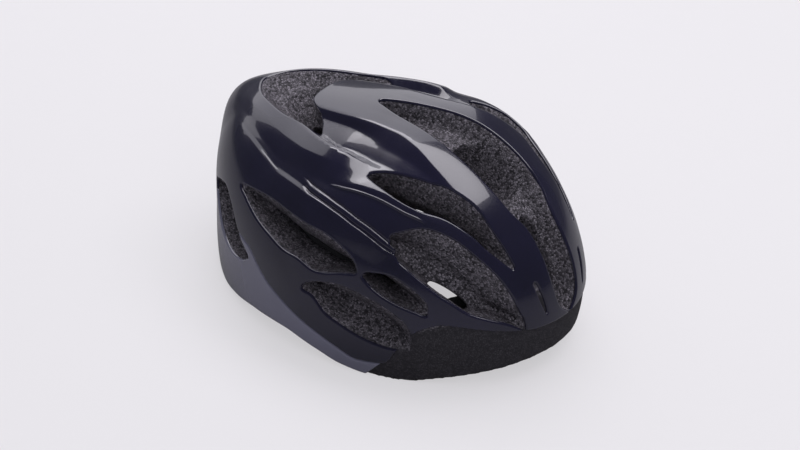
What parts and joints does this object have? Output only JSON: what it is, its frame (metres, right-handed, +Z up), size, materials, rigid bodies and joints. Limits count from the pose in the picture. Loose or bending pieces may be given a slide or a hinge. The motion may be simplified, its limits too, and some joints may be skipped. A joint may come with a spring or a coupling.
{
  "type": "bicycle helmet",
  "caption": "Vented road helmet with a ridged two-piece shell on a foam liner, pads, a rear fit dial that draws in a band, and straps with a buckle.",
  "frame": {"origin": "middle of the helmet's box, on the table that it stands on", "axes": "+Z up, the brow faces -Y, the wearer's right is -X"},
  "size_m": [0.216, 0.2868, 0.1504],
  "materials": {
    "foam": "fused foam beads, matte",
    "gloss_black": "high gloss, dark violet tint",
    "gloss_slate": "gloss, slate blue",
    "pad_cloth": "brushed knit",
    "nylon": "fine satin grain",
    "grip": "soft-touch matte",
    "acetal": "natural acetal",
    "acetal_black": "satin",
    "grey_nylon": "satin",
    "steel": "zinc plated",
    "webbing": "woven webbing"
  },
  "bodies": {
    "helmet": {"foam_liner": "foam", "outer_shell": "gloss_black", "lower_shell": "gloss_slate", "brow_pad": "pad_cloth", "crown_pad_right": "pad_cloth", "crown_pad_left": "pad_cloth", "side_pad_right": "pad_cloth", "side_pad_left": "pad_cloth", "temple_anchor_right": "nylon", "temple_anchor_left": "nylon", "height_anchor": "nylon", "strap_anchor_front_right": "nylon", "strap_anchor_front_left": "nylon", "strap_anchor_rear_right": "nylon", "strap_anchor_rear_left": "nylon", "front_strap_right": "webbing", "front_strap_left": "webbing", "rear_strap_right": "webbing", "rear_strap_left": "webbing", "chin_strap_right": "webbing", "chin_strap_left": "webbing", "divider_right": "acetal_black", "divider_left": "acetal_black", "buckle_female": "acetal_black", "buckle_male": "acetal_black"},
    "cradle": {"dial_housing": "nylon", "housing_cover": "nylon", "cradle_pad": "pad_cloth", "dial_screw": "steel"},
    "dial": {"dial_knob": "grip", "dial_pinion": "acetal"},
    "right_belt": {"belt_right": "nylon", "band_arm_right": "nylon"},
    "left_belt": {"belt_left": "nylon", "band_arm_left": "nylon"},
    "right_lever": {"divider_lever_right": "grey_nylon"},
    "left_lever": {"divider_lever_left": "grey_nylon"},
    "front_prong": {"buckle_prong_front": "acetal_black"},
    "rear_prong": {"buckle_prong_rear": "acetal_black"}
  },
  "joints": [
    {"name": "cradle_height", "type": "slide", "parent": "helmet", "child": "cradle", "axis": [0, 0, 1], "range_m": [-0.008, 0.008]},
    {"name": "dial_turn", "type": "hinge", "parent": "cradle", "child": "dial", "pos_m": [0, 0.08664, 0.028], "axis": [0, 1, 0], "range_deg": [-72, 72]},
    {"name": "right_belt_slide", "type": "slide", "parent": "cradle", "child": "right_belt", "axis": [1, 0, 0], "range_m": [-0.007, 0.007], "deforming": ["band_arm_right"]},
    {"name": "left_belt_slide", "type": "slide", "parent": "cradle", "child": "left_belt", "axis": [1, 0, 0], "range_m": [-0.007, 0.007], "deforming": ["band_arm_left"]},
    {"name": "right_lever_turn", "type": "hinge", "parent": "helmet", "child": "right_lever", "pos_m": [-0.05, 0.00937, 0.0072], "axis": [0, 1, 0], "range_deg": [0, 100]},
    {"name": "left_lever_turn", "type": "hinge", "parent": "helmet", "child": "left_lever", "pos_m": [0.05, 0.00937, 0.0072], "axis": [0, -1, 0], "range_deg": [0, 100]},
    {"name": "front_prong_squeeze", "type": "hinge", "parent": "helmet", "child": "front_prong", "pos_m": [-0.0042, 0.00147, 0.0041], "axis": [0, 0, 1], "range_deg": [0, 12], "stiffness_Nm_per_rad": 0.05},
    {"name": "rear_prong_squeeze", "type": "hinge", "parent": "helmet", "child": "rear_prong", "pos_m": [-0.0042, 0.01727, 0.0041], "axis": [0, 0, -1], "range_deg": [0, 12], "stiffness_Nm_per_rad": 0.05}
  ],
  "couplings": [
    {"joint": "right_belt_slide", "follows": "dial_turn", "m_per_rad": 0.0054},
    {"joint": "left_belt_slide", "follows": "dial_turn", "m_per_rad": -0.0054}
  ]
}
